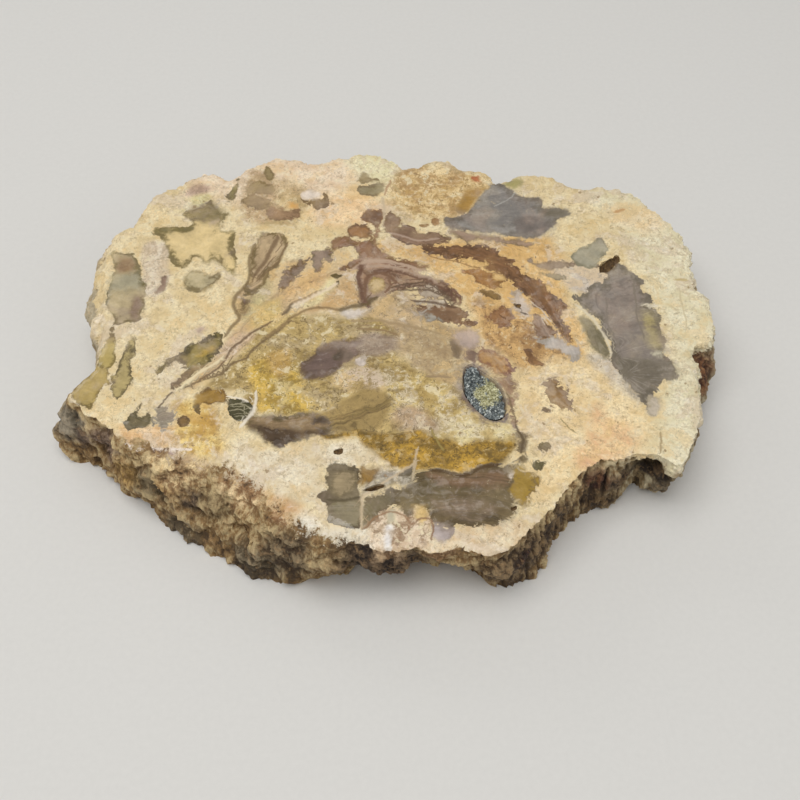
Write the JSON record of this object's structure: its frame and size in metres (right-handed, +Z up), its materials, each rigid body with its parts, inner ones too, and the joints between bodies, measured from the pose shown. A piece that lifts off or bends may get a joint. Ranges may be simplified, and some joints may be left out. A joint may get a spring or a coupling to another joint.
{
  "type": "petrified wood slice",
  "caption": "Flat slab sawn across a petrified log: polished mottled face, rough bark wall, sawn base, and a small hollow lined with crystals.",
  "frame": {"origin": "on the sawn base, below the middle of the slice's box", "axes": "+Z up, out of the polished face; +X along the slice's long side, towards the chalky right rim; +Y towards the lumpy back rim"},
  "size_m": [0.1816, 0.1362, 0.024],
  "materials": {
    "petrified_wood": "polished face of cream, olive, grey and brown chalcedony, with a rough matte bark wall",
    "quartz_druse": "small glossy dark blue-grey crystals with some pale yellow-green ones"
  },
  "bodies": {
    "root": {"petrified_wood_slice": "petrified_wood", "crystal_crust": "quartz_druse"}
  },
  "joints": []
}
